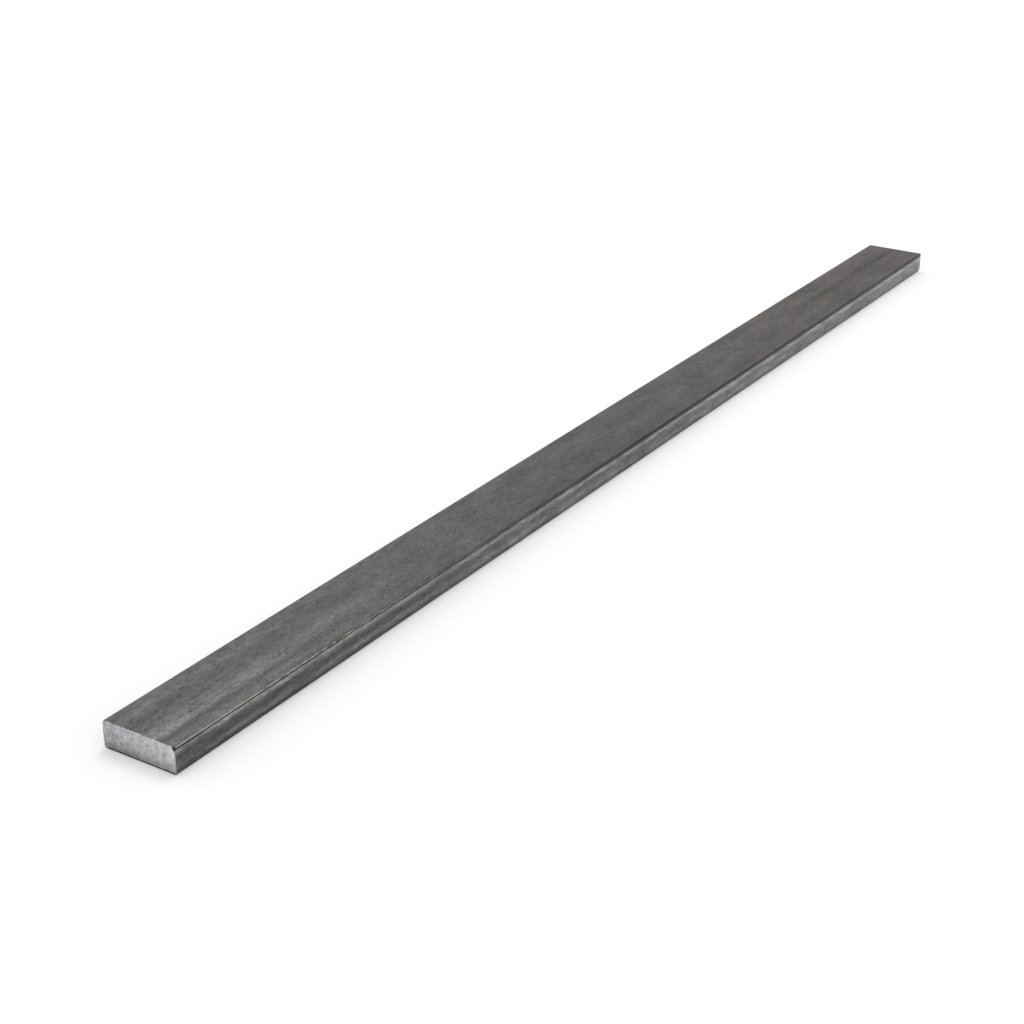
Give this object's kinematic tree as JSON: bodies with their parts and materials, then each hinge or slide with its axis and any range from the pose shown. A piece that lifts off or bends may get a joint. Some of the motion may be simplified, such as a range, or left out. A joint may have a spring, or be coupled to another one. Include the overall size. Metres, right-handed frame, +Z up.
{
  "type": "steel flat bar",
  "caption": "Straight hot-rolled steel flat bar with a dark mill-scale skin, bright square-cut ends, slightly crowned narrow sides and a fine rolling seam along one edge.",
  "frame": {"origin": "middle of the underside, so the bar lies flat on the plane z = 0", "axes": "+X along the bar's length, away from the end with the blunted corner, +Y across its width, away from the side with the rolling seam, +Z up through its thickness"},
  "size_m": [0.6, 0.03, 0.01],
  "materials": {
    "mill_scale_steel": "dark grey mill scale with fine grain and faint streaks along the length, bare light grey steel on the two cut ends"
  },
  "bodies": {
    "root": {"flat_bar": "mill_scale_steel"}
  },
  "joints": []
}
